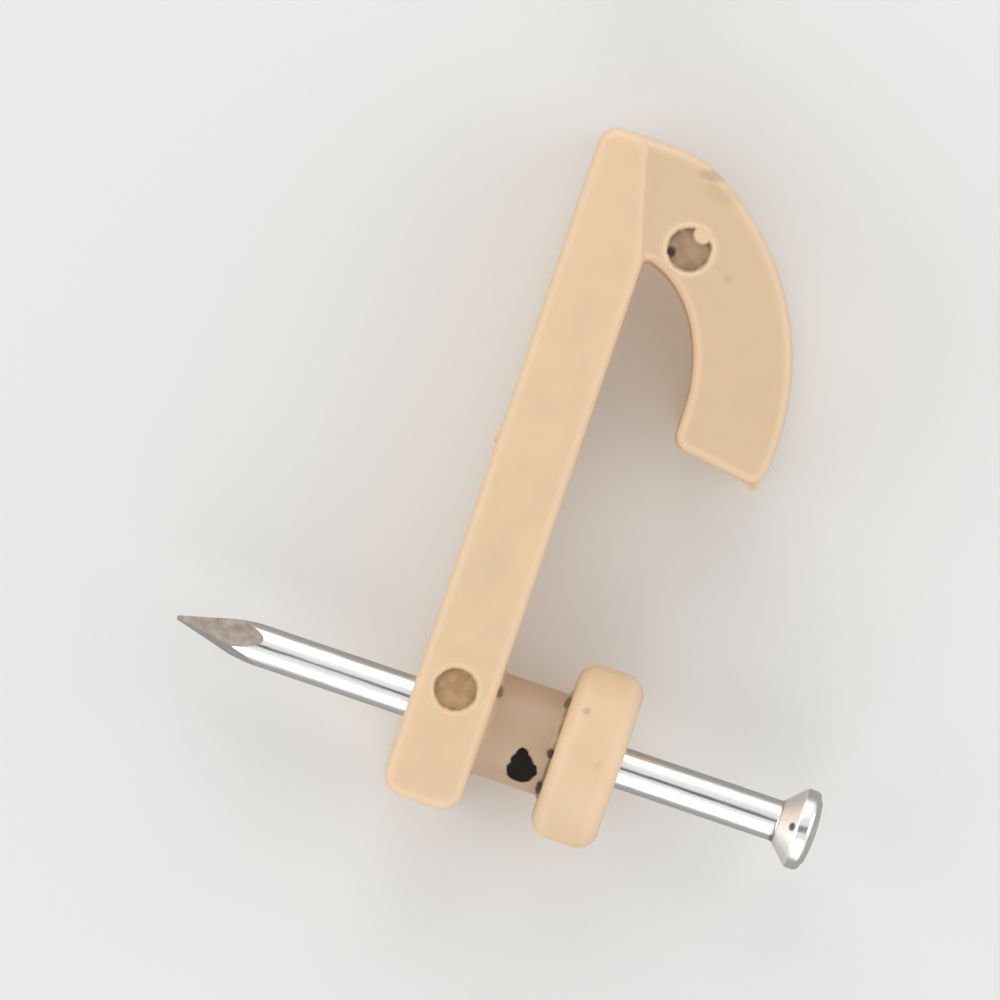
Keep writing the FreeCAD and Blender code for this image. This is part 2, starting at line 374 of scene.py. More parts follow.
def spool_mesh():
    """Neck and collar, closed, with its foot inside the bar."""
    bm = bmesh.new()
    foot = BAR_THICKNESS / 2
    end = bm.verts.new(at(foot, 0))
    end = straight(bm, end, foot, NECK_RADIUS + NECK_FILLET)
    end = straight(bm, end, BAR_THICKNESS, NECK_RADIUS + NECK_FILLET)
    flare_centre = at(BAR_THICKNESS + NECK_FILLET, NECK_RADIUS + NECK_FILLET)
    end = arc(bm, end, flare_centre, math.pi / 2, FILLET_STEPS)
    end = straight(bm, end, collar_back - NECK_FILLET, NECK_RADIUS)
    end = corner(bm, end, NECK_FILLET, 0, 90, FILLET_STEPS)
    end = straight(bm, end, collar_back, collar_radius - COLLAR_EDGE)
    end = corner(bm, end, COLLAR_EDGE, 90, -90, CORNER_STEPS)
    end = straight(bm, end, collar_front - COLLAR_EDGE, collar_radius)
    end = corner(bm, end, COLLAR_EDGE, 0, -90, CORNER_STEPS)
    straight(bm, end, collar_front, 0)
    turn_on_lathe(bm)
    parting_ridge(bm)
    mesh = bpy.data.meshes.new("spool")
    bm.to_mesh(mesh)
    bm.free()
    return mesh


spool = spool_mesh()
print("Spool:", len(spool.vertices), "vertices,", len(spool.polygons), "faces")

# %% [markdown]
# ## Small forms that join or cut the moulding
#
# The bore takes the nail. Two ejector pins pushed the part out of its mould and each left a shallow
# dish with a low lip, on one side only, and a bead of plastic sits on the lower one's rim. The plastic
# came in through a gate on the back, whose stub is snapped off, and a little crept out at the arm's
# tip. Each is a short form from one create operator or one lathe outline, and an exact boolean joins
# or cuts it.

# %% Bake one modifier, and join or cut with a boolean
def baked(mesh, kind, **settings):
    """The mesh that one modifier makes from a mesh."""
    holder = bpy.data.objects.new("holder", mesh)
    bpy.context.scene.collection.objects.link(holder)
    step = holder.modifiers.new("step", kind)
    for name, value in settings.items():
        setattr(step, name, value)
    graph = bpy.context.evaluated_depsgraph_get()
    result = bpy.data.meshes.new_from_object(holder.evaluated_get(graph))
    bpy.data.objects.remove(holder)
    return result


def combine(mesh, tool, operation):
    """Join a tool mesh to a mesh, or cut it out of it, and give the new mesh."""
    helper = bpy.data.objects.new("helper", tool)
    bpy.context.scene.collection.objects.link(helper)
    result = baked(mesh, "BOOLEAN", object=helper, operation=operation, solver="EXACT")
    bpy.data.objects.remove(helper)
    return result


# %% The nail's bore, with softened ends
BORE_RADIUS = 0.645
BORE_LEAD = 0.09
BORE_OVERRUN = 0.5


def bore_tool():
    """A long pin that widens a little at both mouths of the bore."""
    bm = bmesh.new()
    wide = BORE_RADIUS + BORE_LEAD
    end = bm.verts.new(at(-BORE_OVERRUN, 0))
    end = straight(bm, end, -BORE_OVERRUN, wide)
    end = straight(bm, end, 0, wide)
    end = straight(bm, end, BORE_LEAD, BORE_RADIUS)
    end = straight(bm, end, collar_front - BORE_LEAD, BORE_RADIUS)
    end = straight(bm, end, collar_front, wide)
    end = straight(bm, end, collar_front + BORE_OVERRUN, wide)
    straight(bm, end, collar_front + BORE_OVERRUN, 0)
    turn_on_lathe(bm)
    mesh = bpy.data.meshes.new("bore")
    bm.to_mesh(mesh)
    bm.free()
    return mesh


# %% A short cone on any axis
CONE_SEGMENTS = 48
CONE_EDGE_STEPS = 4


def cone_mesh(
    base, direction, base_radius, end_radius, length, segments=CONE_SEGMENTS, flatten=1.0, edge=0.0
):
    """A cone or disc that stands on a base point, with its rim rounded if an edge radius is given."""
    bm = bmesh.new()
    bmesh.ops.create_cone(
        bm,
        cap_ends=True,
        segments=segments,
        radius1=base_radius,
        radius2=end_radius,
        depth=length,
        matrix=Matrix.Translation((0, 0, length / 2)),
    )
    if edge:
        rim = [item for item in bm.edges if all(vert.co.z > length - TOUCH for vert in item.verts)]
        bmesh.ops.bevel(
            bm,
            geom=rim,
            offset=edge,
            affect="EDGES",
            segments=CONE_EDGE_STEPS,
            profile=0.5,
            material=-1,
        )
    turned = direction.to_track_quat("Z", "X").to_matrix().to_4x4()
    squeezed = Matrix.Diagonal((flatten, 1, 1, 1))
    bmesh.ops.transform(bm, verts=bm.verts, matrix=Matrix.Translation(base) @ squeezed @ turned)
    mesh = bpy.data.meshes.new("cone")
    bm.to_mesh(mesh)
    bm.free()
    return mesh


# %% Ejector marks, gate stub and the flash at the tip
ACROSS = Vector((1, 0, 0))
INTO_WALL = Vector((0, 1, 0))

PIN_RADIUS = 0.65
PIN_DEPTH = 0.15
PIN_TAPER = 0.07
DISH_HEIGHT = 0.4
LIP_WIDTH = 0.16
LIP_HEIGHT = 0.03
LIP_EDGE = 0.02
UPPER_PIN = at(BAR_THICKNESS / 2, -0.67, bar_side)
LOWER_PIN = at(BAR_THICKNESS + 1.15, notch_height - 0.65, arm_side)

BEAD_SINK = 0.17
BEAD_PLACE = at(3.80, -15.70, arm_side - BEAD_SINK)
BEAD_RADIUS = 0.31
BEAD_TAPER = 0.06
BEAD_HEIGHT = 0.21
BEAD_EDGE = 0.09

GATE_DROP = 8.2
GATE_SINK = 0.3
GATE_ROOT_RADIUS = 0.36
GATE_END_RADIUS = 0.24
GATE_LENGTH = 0.42
GATE_EDGE = 0.05

FLASH_PLACE = at(7.47, -9.35)
FLASH_WAY = Vector((0, -0.6, 0.8))
FLASH_ROOT_RADIUS = 0.26
FLASH_END_RADIUS = 0.14
FLASH_LENGTH = 0.4
FLASH_FLATTEN = 0.6
FLASH_EDGE = 0.08


def with_pin_mark(mesh, centre):
    """The mesh with one ejector mark: a low lip first, then the dish inside it."""
    lip_base = centre - ACROSS * LIP_HEIGHT
    lip_radius = PIN_RADIUS + LIP_WIDTH
    lip_end = lip_radius - LIP_HEIGHT
    lip = cone_mesh(lip_base, ACROSS, lip_radius, lip_end, 2 * LIP_HEIGHT, edge=LIP_EDGE)
    mesh = combine(mesh, lip, "UNION")
    floor_radius = PIN_RADIUS - PIN_TAPER
    mouth_radius = floor_radius + DISH_HEIGHT * PIN_TAPER / PIN_DEPTH
    dish_base = centre - ACROSS * PIN_DEPTH
    dish = cone_mesh(dish_base, ACROSS, floor_radius, mouth_radius, DISH_HEIGHT)
    return combine(mesh, dish, "DIFFERENCE")


def gate_stub():
    """The snapped-off gate, a short cone out of the back."""
    return cone_mesh(
        at(GATE_SINK, -GATE_DROP),
        INTO_WALL,
        GATE_ROOT_RADIUS,
        GATE_END_RADIUS,
        GATE_LENGTH,
        segments=32,
        edge=GATE_EDGE,
    )


def flash_nub():
    """The flash at the arm's tip, a flattened cone."""
    return cone_mesh(
        FLASH_PLACE,
        FLASH_WAY,
        FLASH_ROOT_RADIUS,
        FLASH_END_RADIUS,
        FLASH_LENGTH,
        segments=24,
        flatten=FLASH_FLATTEN,
        edge=FLASH_EDGE,
    )


# %% Put the moulding together
def moulding_mesh():
    """The whole moulding: bar, arm and spool, bore, ejector marks, bead, gate stub and flash."""
    mesh = combine(combine(bar, arm, "UNION"), spool, "UNION")
    mesh = combine(mesh, gate_stub(), "UNION")
    mesh = combine(mesh, flash_nub(), "UNION")
    for centre in (UPPER_PIN, LOWER_PIN):
        mesh = with_pin_mark(mesh, centre)
    bead_end = BEAD_RADIUS - BEAD_TAPER
    bead = cone_mesh(BEAD_PLACE, ACROSS, BEAD_RADIUS, bead_end, BEAD_HEIGHT, edge=BEAD_EDGE)
    mesh = combine(mesh, bead, "UNION")
    return combine(mesh, bore_tool(), "DIFFERENCE")


moulding = moulding_mesh()
print("Moulding:", len(moulding.vertices), "vertices,", len(moulding.polygons), "faces")

# %% [markdown]
# ## From a mesh in millimetres to a piece of the model
#
# The finished mesh is shaded smooth and kept crisp at real edges. A weighted-normal modifier lets the
# large flat faces set the shading at their borders, so that they look flat. It weighs faces by area,
# and areas in square metres would be too small for it, so it is baked while the mesh is still in
# millimetres, and the shrinking comes last. The object stays at the origin with its place in the mesh,
# as the frame's own nodes do. It rides on the one body and stands for its node.

# %% Make a piece that stands for a node
HOOK_CRISP_DEGREES = 32
NAIL_CRISP_DEGREES = 7


def piece_from(mesh, name, node, crisp_degrees):
    """An object at the origin that replaces one node of the frame."""
    bm = bmesh.new()
    bm.from_mesh(mesh)
    bmesh.ops.remove_doubles(bm, verts=bm.verts, dist=TOUCH)
    bmesh.ops.dissolve_degenerate(bm, edges=bm.edges, dist=TOUCH)
    open_edges = sum(not edge.is_manifold for edge in bm.edges)
    for face in bm.faces:
        face.smooth = True
    bm.to_mesh(mesh)
    bm.free()
    mesh.set_sharp_from_angle(angle=math.radians(crisp_degrees))
    mesh.materials.clear()
    mesh = baked(mesh, "WEIGHTED_NORMAL", keep_sharp=True)
    mesh.name = name
    mesh.transform(Matrix.Scale(MM, 4))
    piece = bpy.data.objects.new(name, mesh)
    bpy.context.scene.collection.objects.link(piece)
    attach(piece, "root")
    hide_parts(node)
    print(f"{name}: {len(mesh.polygons)} faces, {open_edges} open edges")
    return piece


hook = piece_from(moulding, "hook_moulding", "hook_body", HOOK_CRISP_DEGREES)

# %% [markdown]
# ## The nail
#
# The nail is a steel pin with a crowned head whose underside runs down to the shank as a cone. Like
# the spool it is a lathe form. Its point was cut by two pairs of dies, so it has four flat facets, and
# four plane cuts make them, each closed with a flat face.

# %% Turn the head and the shank
SHANK_RADIUS = 0.625
CROWN = 0.16
RIM = 0.45
CONE = 0.6
HEAD_EDGE = 0.2
CONE_FILLET = 0.12
POINT_LENGTH = 2.65
POINT_FLAT = 0.1
POINT_TURN = 28.0
CROWN_STEPS = 12
HEAD_STEPS = 6


def nail_blank(bm):
    """Head and shank, turned, with a plain flat end."""
    crown_radius = (head_radius**2 + CROWN**2) / (2 * CROWN)
    crown_turn = math.asin((head_radius - HEAD_EDGE) / crown_radius)
    cone_turn = math.atan2(head_radius - SHANK_RADIUS, CONE)
    cone_degrees = math.degrees(cone_turn)
    end = bm.verts.new(at(head_front, 0))
    end = arc(bm, end, at(head_front - crown_radius, 0), crown_turn, CROWN_STEPS)
    rim_top = head_front - CROWN - HEAD_EDGE
    centre = at(rim_top, head_radius - HEAD_EDGE)
    reach = end.co - centre
    edge_turn = math.pi / 2 - math.atan2(reach.z, -reach.y)
    end.co = centre + reach.normalized() * HEAD_EDGE
    end = arc(bm, end, centre, edge_turn, HEAD_STEPS)
    rim_back = head_front - CROWN - RIM
    end = straight(bm, end, rim_back + HEAD_EDGE * math.tan(cone_turn / 2), head_radius)
    end = corner(bm, end, HEAD_EDGE, 180, cone_degrees, HEAD_STEPS)
    ease = CONE_FILLET * math.tan(cone_turn / 2)
    fillet_front = rim_back - CONE + ease * math.cos(cone_turn)
    end = straight(bm, end, fillet_front, SHANK_RADIUS + ease * math.sin(cone_turn))
    end = corner(bm, end, CONE_FILLET, 180 + cone_degrees, -cone_degrees, HEAD_STEPS)
    end = straight(bm, end, -tip_behind_wall, SHANK_RADIUS)
    straight(bm, end, -tip_behind_wall, 0)
    turn_on_lathe(bm)


# %% Cut the four facets of the point
def cut_facet(bm, degrees):
    """Cut away what lies outside one facet's plane, and close the cut with a flat face."""
    slope = (SHANK_RADIUS - POINT_FLAT / 2) / POINT_LENGTH
    angle = math.radians(degrees)
    outwards = Vector((math.cos(angle), 0, math.sin(angle)))
    cut = bmesh.ops.bisect_plane(
        bm,
        geom=bm.verts[:] + bm.edges[:] + bm.faces[:],
        dist=TOUCH,
        plane_co=at(-tip_behind_wall, 0) + outwards * POINT_FLAT / 2,
        plane_no=outwards + Vector((0, slope, 0)),
        clear_outer=True,
    )
    border = [item for item in cut["geom_cut"] if isinstance(item, bmesh.types.BMEdge)]
    bmesh.ops.contextual_create(bm, geom=border)


def nail_mesh():
    """The whole nail as a closed mesh."""
    bm = bmesh.new()
    nail_blank(bm)
    for quarter in range(4):
        cut_facet(bm, POINT_TURN + 45 + 90 * quarter)
    bmesh.ops.recalc_face_normals(bm, faces=bm.faces)
    mesh = bpy.data.meshes.new("nail_steel")
    bm.to_mesh(mesh)
    bm.free()
    return mesh


nail = piece_from(nail_mesh(), "wire_nail", "nail", NAIL_CRISP_DEGREES)

# %% [markdown]
# ## Helpers for the finishes
#
# Both finishes are built from shader nodes on Object coordinates, which are metres in the hook's own
# frame, so a mark stays where it is on the part. A few helpers keep the node trees short: each adds
# one node, takes numbers or other nodes' sockets, and gives back the result's socket.

# %% Node helpers
def plug(tree, socket, value):
    """Give an input a number, a colour, a vector or another node's socket."""
    if isinstance(value, bpy.types.NodeSocket):
        tree.links.new(value, socket)
    else:
        socket.default_value = value


def sum_of(tree, operation, *values):
    """The result of a Math node."""
    node = tree.nodes.new("ShaderNodeMath")
    node.operation = operation
    for socket, value in zip(node.inputs, values):
        plug(tree, socket, value)
    return node.outputs[0]


def vector_of(tree, operation, *values):
    """The result of a Vector Math node, a vector or, for a length, a number."""
    node = tree.nodes.new("ShaderNodeVectorMath")
    node.operation = operation
    for socket, value in zip(node.inputs, values):
        plug(tree, socket, value)
    return node.outputs["Value" if operation in ("LENGTH", "DISTANCE") else "Vector"]


def fade(tree, value, start, stop):
    """A smooth change from 0 at start to 1 at stop."""
    node = tree.nodes.new("ShaderNodeMapRange")
    node.interpolation_type = "SMOOTHSTEP"
    plug(tree, node.inputs["Value"], value)
    node.inputs["From Min"].default_value = start
    node.inputs["From Max"].default_value = stop
    return node.outputs["Result"]


def noise(tree, place, grain_mm, detail=2.0):
    """A Noise node whose blobs are about grain_mm across."""
    node = tree.nodes.new("ShaderNodeTexNoise")
    plug(tree, node.inputs["Vector"], place)
    node.inputs["Scale"].default_value = 1 / (grain_mm * MM)
    node.inputs["Detail"].default_value = detail
    return node


def tint(tree, mask, under, over):
    """One colour over another, as far as the mask says."""
    node = tree.nodes.new("ShaderNodeMix")
    node.data_type = "RGBA"
    plug(tree, node.inputs["Factor"], mask)
    plug(tree, node.inputs["A"], under)
    plug(tree, node.inputs["B"], over)
    return node.outputs["Result"]


def bump(tree, height, depth_mm, below=None):
    """A Bump node on top of another one, if there is one."""
    node = tree.nodes.new("ShaderNodeBump")
    node.inputs["Distance"].default_value = depth_mm * MM
    plug(tree, node.inputs["Height"], height)
    if below is not None:
        plug(tree, node.inputs["Normal"], below)
    return node.outputs["Normal"]


def axes_of(tree, vector):
    """The three parts of a vector."""
    node = tree.nodes.new("ShaderNodeSeparateXYZ")
    plug(tree, node.inputs[0], vector)
    return node.outputs["X"], node.outputs["Y"], node.outputs["Z"]


def all_of(tree, *masks):
    """The product of masks, which is 1 only where all of them are."""
    total = masks[0]
    for mask in masks[1:]:
        total = sum_of(tree, "MULTIPLY", total, mask)
    return total


def new_finish(name):
    """A material with its tree, its main shader and its Object coordinates."""
    material = bpy.data.materials.new(name)
    material.use_nodes = True
    tree = material.node_tree
    shader = next(node for node in tree.nodes if node.type == "BSDF_PRINCIPLED")
    place = tree.nodes.new("ShaderNodeTexCoord").outputs["Object"]
    return material, tree, shader, place


# %% [markdown]
# ## The plastic
#
# The plastic is a beige, slightly waxy moulding. Its rounded edges are painted paler than its flat
# sides, a painted highlight. The arm is a little greyer than the bar, and the neck is darker and greyer
# still, partly dirt and partly painted shade in its recess. The ejector pins left greasy brown discs
# whose lips are painted pale, a painted highlight. The hook carries a black burnt speck on the neck, a
# few small stains, and in the corners of the neck a broken line of painted shade and dark spots that
# are partly grime and partly painted shade. These marks are ellipsoids at listed places, made ragged by
# noise, and the zones of the form are masks worked out from the place and the surface's direction.

# %% Colours and marks of the plastic
BEIGE = (0.84, 0.615, 0.395, 1)
BEIGE_DEEP = (0.79, 0.585, 0.38, 1)
ARM_BEIGE = (0.73, 0.535, 0.345, 1)
EDGE_PAINTED_HIGHLIGHT = (0.91, 0.675, 0.46, 1)
NECK_DIRT_AND_SHADE = (0.53, 0.385, 0.265, 1)
PIN_GOLD = (0.535, 0.317, 0.158, 1)
PIN_BROWN = (0.426, 0.29, 0.182, 1)
PIN_DARK = (0.30, 0.18, 0.085, 1)
PIN_LINE = (0.20, 0.13, 0.07, 1)
PIN_LIP_HIGHLIGHT = (0.92, 0.71, 0.50, 1)
BURNT = (0.010, 0.008, 0.007, 1)
STAIN_GREY = (0.30, 0.215, 0.14, 1)
GRIME_AND_SHADE_BROWN = (0.05, 0.03, 0.017, 1)

# Each mark: distance in front of the wall, height, place across, its three half-sizes, strength
BURNT_MARKS = [
    ((3.78, 1.04, 1.15), (0.42, 0.44, 0.6), 1.0),
    ((4.06, 0.90, 1.25), (0.22, 0.20, 0.5), 1.0),
    ((3.75, 0.79, 1.34), (0.36, 0.37, 0.5), 1.0),
    ((3.70, 0.62, 1.42), (0.21, 0.29, 0.5), 1.0),
]
STAINS = [
    ((4.9, -14.7, 2.35), (0.12, 0.10, 0.4), 0.2),
    ((1.2, -1.75, 2.5), (1.0, 0.22, 0.4), 0.06),
    ((3.5, -17.42, 2.2), (0.35, 0.15, 0.6), 0.4),
    ((4.0, -17.0, 2.35), (0.5, 0.25, 0.4), 0.14),
    ((5.06, -1.30, 2.3), (0.13, 0.12, 0.5), 0.4),
    ((5.9, 0.1, 2.6), (0.12, 0.12, 0.5), 0.12),
    ((1.2, -4.6, 2.5), (0.4, 0.9, 0.4), 0.06),
]
# Dark spots. The one in the lower dish is grime. The four at the neck's ends, by the collar and the
# bar, are partly grime and partly painted shade in those corners.
GRIME_AND_SHADE_SPOTS = [
    ((3.06, -14.93, 2.20), (0.15, 0.15, 0.3), 1.0),
    ((4.48, 1.32, 0.85), (0.10, 0.30, 0.6), 1.0),
    ((4.48, 0.25, 1.60), (0.11, 0.17, 0.4), 1.0),
    ((4.50, -1.35, 0.85), (0.10, 0.22, 0.6), 0.8),
    ((2.48, -1.00, 1.30), (0.10, 0.18, 0.4), 0.7),
]


def marks(tree, place, rows, softness):
    """One mask for a list of ellipsoid marks."""
    total = 0.0
    for (front, height, across), (size_front, size_height, size_across), strength in rows:
        offset = vector_of(tree, "SUBTRACT", place, at(front, height, across) * MM)
        sizes = Vector((size_across, size_front, size_height)) * MM
        distance = vector_of(tree, "LENGTH", vector_of(tree, "DIVIDE", offset, sizes))
        mark = fade(tree, distance, 1 + softness, 1 - softness)
        total = sum_of(tree, "MAXIMUM", total, sum_of(tree, "MULTIPLY", mark, strength))
    return total


# %% Masks that follow the form
LINE_GRAIN = 0.8


def neck_dirt_and_shade_zone(tree, place):
    """The neck, between the bar and the collar, where its darker grey is partly dirt and partly painted
    shade in the recess.
    """
    _, depth, _ = axes_of(tree, place)
    past_bar = fade(tree, depth, -(BAR_THICKNESS - 0.05) * MM, -(BAR_THICKNESS + 0.1) * MM)
    before_collar = fade(tree, depth, -(collar_back + 0.05) * MM, -(collar_back - 0.15) * MM)
    radial = vector_of(tree, "LENGTH", vector_of(tree, "MULTIPLY", place, (1, 0, 1)))
    inside = fade(tree, radial, (NECK_RADIUS + 0.6) * MM, (NECK_RADIUS + 0.1) * MM)
    return all_of(tree, past_bar, before_collar, inside)


def collar_corner_shade(tree, place):
    """A thin, broken line of painted shade in the corner where the neck meets the collar."""
    _, depth, _ = axes_of(tree, place)
    near = fade(tree, depth, -(collar_back - 0.15) * MM, -(collar_back - 0.03) * MM)
    before = fade(tree, depth, -(collar_back + 0.06) * MM, -collar_back * MM)
    radial = vector_of(tree, "LENGTH", vector_of(tree, "MULTIPLY", place, (1, 0, 1)))
    inside = fade(tree, radial, (NECK_RADIUS + NECK_FILLET) * MM, (NECK_RADIUS + NECK_FILLET / 2) * MM)
    broken = fade(tree, noise(tree, place, LINE_GRAIN, detail=1.0).outputs["Fac"], 0.2, 0.7)
    return all_of(tree, near, before, inside, broken)


def arm_zone(tree, place):
    """The arm, in front of the bar and of its thinner foot."""
    _, depth, height = axes_of(tree, place)
    slope = (BAR_THICKNESS - BAR_FOOT_THICKNESS) / (notch_height - bar_bottom)
    above_foot = sum_of(tree, "SUBTRACT", height, bar_bottom * MM)
    foot_front = sum_of(tree, "MULTIPLY_ADD", above_foot, slope, BAR_FOOT_THICKNESS * MM)
    bar_front = sum_of(tree, "MINIMUM", foot_front, BAR_THICKNESS * MM)
    beyond = sum_of(tree, "MULTIPLY_ADD", depth, -1.0, sum_of(tree, "MULTIPLY", bar_front, -1.0))
    return all_of(tree, fade(tree, beyond, -0.25 * MM, 0.1 * MM), fade(tree, height, -8 * MM, -9 * MM))


def edge_highlight_band(tree, place):
    """Where the painted edge highlight goes: the strip's rounded edges by how far they turn from X, the
    collar's by how far from Y.
    """
    normal = tree.nodes.new("ShaderNodeNewGeometry").outputs["Normal"]
    lean_x, lean_y, _ = axes_of(tree, vector_of(tree, "ABSOLUTE", normal))
    strip_turn = all_of(tree, fade(tree, lean_x, 0.999, 0.78), fade(tree, lean_x, 0.05, 0.3))
    collar_turn = all_of(tree, fade(tree, lean_y, 0.02, 0.5), fade(tree, lean_y, 0.99, 0.8))
    _, depth, height = axes_of(tree, place)
    past_bar = fade(tree, depth, -BAR_THICKNESS * MM, -(BAR_THICKNESS + 0.3) * MM)
    on_spool = all_of(tree, past_bar, fade(tree, height, -6 * MM, -5 * MM))
    gap = sum_of(tree, "SUBTRACT", collar_turn, strip_turn)
    return sum_of(tree, "MULTIPLY_ADD", on_spool, gap, strip_turn)


def step_zone(tree, place):
    """A stripe along the step between bar and arm, where the painted edge highlight is left out."""
    inner = arm_zone(tree, place)
    outer = sum_of(tree, "SUBTRACT", 1.0, inner)
    _, _, height = axes_of(tree, place)
    low = fade(tree, height, (notch_height + 0.2) * MM, (notch_height - 0.2) * MM)
    off_foot = fade(tree, height, (bar_bottom + 0.3) * MM, (bar_bottom + 0.6) * MM)
    stripe = sum_of(tree, "MULTIPLY", all_of(tree, inner, outer), 4.0)
    return all_of(tree, stripe, low, off_foot)


# %% One ejector mark: a painted highlight on the lip, a brown floor and a thin dark line between them
BLOTCH_GRAIN = 0.35
BLOTCH_SHARE = 0.6
FLOOR_SHARE = 0.9


def with_pin_colours(tree, place, colour, centre, floor_colour, lip_highlight_strength, line_strength):
    """The colour with one ejector mark over it, its lip painted pale as a painted highlight."""
    flat = vector_of(tree, "MULTIPLY", place, (0, 1, 1))
    distance = vector_of(tree, "DISTANCE", flat, Vector((0, centre.y, centre.z)) * MM)
    across, _, _ = axes_of(tree, place)
    near_side = fade(tree, across, (centre.x - 0.4) * MM, (centre.x - 0.3) * MM)
    outside = fade(tree, distance, PIN_RADIUS * MM, (PIN_RADIUS + 0.05) * MM)
    lip = all_of(tree, outside, fade(tree, distance, (PIN_RADIUS + 0.28) * MM, (PIN_RADIUS + 0.1) * MM))
    inside = fade(tree, distance, (PIN_RADIUS + 0.01) * MM, (PIN_RADIUS - 0.05) * MM)
    off_rim = sum_of(tree, "ABSOLUTE", sum_of(tree, "SUBTRACT", distance, (PIN_RADIUS - 0.02) * MM))
    line = fade(tree, off_rim, 0.1 * MM, 0.02 * MM)
    blotches = fade(tree, noise(tree, place, BLOTCH_GRAIN).outputs["Fac"], 0.35, 0.65)
    dish_floor = tint(tree, all_of(tree, blotches, BLOTCH_SHARE), floor_colour, PIN_DARK)
    # The lip's pale colour is a painted highlight on the raised rim.
    colour = tint(tree, all_of(tree, lip, near_side, lip_highlight_strength), colour, PIN_LIP_HIGHLIGHT)
    colour = tint(tree, all_of(tree, inside, near_side, FLOOR_SHARE), colour, dish_floor)
    return tint(tree, all_of(tree, line, near_side, blotches, line_strength), colour, PIN_LINE)


# %% The plastic's colour, by the form
MOTTLE_GRAIN = 1.3
ARM_SHARE = 0.85
EDGE_HIGHLIGHT_SHARE = 0.6
NECK_DIRT_AND_SHADE_SHARE = 0.85


def with_bead_colour_and_highlight(tree, place, colour):
    """The colour with the bead on the lower mark's rim in the bar's beige: its own colour in the dish,
    and a painted highlight where it stands paler than the arm round it.
    """
    from_bead = vector_of(tree, "SUBTRACT", place, BEAD_PLACE * MM)
    distance = vector_of(tree, "LENGTH", vector_of(tree, "MULTIPLY", from_bead, (0, 1, 1)))
    bead = fade(tree, distance, (BEAD_RADIUS + 0.02) * MM, (BEAD_RADIUS - 0.04) * MM)
    across, _, _ = axes_of(tree, place)
    near_side = fade(tree, across, 1.5 * MM, 1.7 * MM)
    return tint(tree, all_of(tree, bead, near_side), colour, BEIGE)


def form_colour(tree, place):
    """The colour of bar, arm and neck before wear, with the painted edge highlight, the neck's dirt and
    painted shade, and the ejector marks with their painted lip highlights.
    """
    mottle = noise(tree, place, MOTTLE_GRAIN).outputs["Fac"]
    colour = tint(tree, fade(tree, mottle, 0.3, 0.8), BEIGE, BEIGE_DEEP)
    colour = tint(tree, all_of(tree, arm_zone(tree, place), ARM_SHARE), colour, ARM_BEIGE)
    off_step = sum_of(tree, "SUBTRACT", 1.0, step_zone(tree, place))
    # The rounded edges get a paler colour, a painted highlight.
    colour = tint(tree, all_of(tree, edge_highlight_band(tree, place), off_step, EDGE_HIGHLIGHT_SHARE), colour, EDGE_PAINTED_HIGHLIGHT)
    # The neck is painted darker and greyer: partly dirt, partly painted shade in its recess between bar
    # and collar.
    colour = tint(tree, all_of(tree, neck_dirt_and_shade_zone(tree, place), NECK_DIRT_AND_SHADE_SHARE), colour, NECK_DIRT_AND_SHADE)
    colour = with_pin_colours(
        tree, place, colour, UPPER_PIN, PIN_GOLD, lip_highlight_strength=0.2, line_strength=0.35
    )
    colour = with_pin_colours(
        tree, place, colour, LOWER_PIN, PIN_BROWN, lip_highlight_strength=0.6, line_strength=0.55
    )
    return with_bead_colour_and_highlight(tree, place, colour)


# %% The wear over it
RAGGED_GRAIN = 0.25
RAGGED_SHIFT = 0.13
STAIN_SOFTNESS = 0.6
GRIME_AND_SHADE_SOFTNESS = 0.4
BURNT_SOFTNESS = 0.12
CORNER_SHADE_SHARE = 0.75


def with_wear(tree, place, colour):
    """The colour with stains, grime, painted corner shade and the burnt speck over it, and the mask of
    the speck.
    """
    wander = noise(tree, place, RAGGED_GRAIN).outputs["Color"]
    shake = vector_of(tree, "SUBTRACT", wander, (0.5, 0.5, 0.5))
    shift = vector_of(tree, "MULTIPLY", shake, (RAGGED_SHIFT * MM,) * 3)
    ragged = vector_of(tree, "ADD", place, shift)
    colour = tint(tree, marks(tree, ragged, STAINS, STAIN_SOFTNESS), colour, STAIN_GREY)
    # The corner line is painted shade where the neck meets the collar. The spots are grime, and those
    # at the neck's ends are partly painted shade.
    line = all_of(tree, collar_corner_shade(tree, place), CORNER_SHADE_SHARE)
    spots = marks(tree, ragged, GRIME_AND_SHADE_SPOTS, GRIME_AND_SHADE_SOFTNESS)
    colour = tint(tree, sum_of(tree, "MAXIMUM", line, spots), colour, GRIME_AND_SHADE_BROWN)
    burnt = marks(tree, ragged, BURNT_MARKS, BURNT_SOFTNESS)
    return tint(tree, burnt, colour, BURNT), burnt


# %% The plastic's node tree
SPECULAR = 0.5
BURNT_SPECULAR = 0.08
SATIN_GRAIN = 0.5
SATIN_ROUGH_LOW = 0.36
SATIN_ROUGH_RANGE = 0.16
SWELL_GRAIN = 2.2
SWELL_DEPTH = 0.03
FINE_GRAIN = 0.12
FINE_DEPTH = 0.006


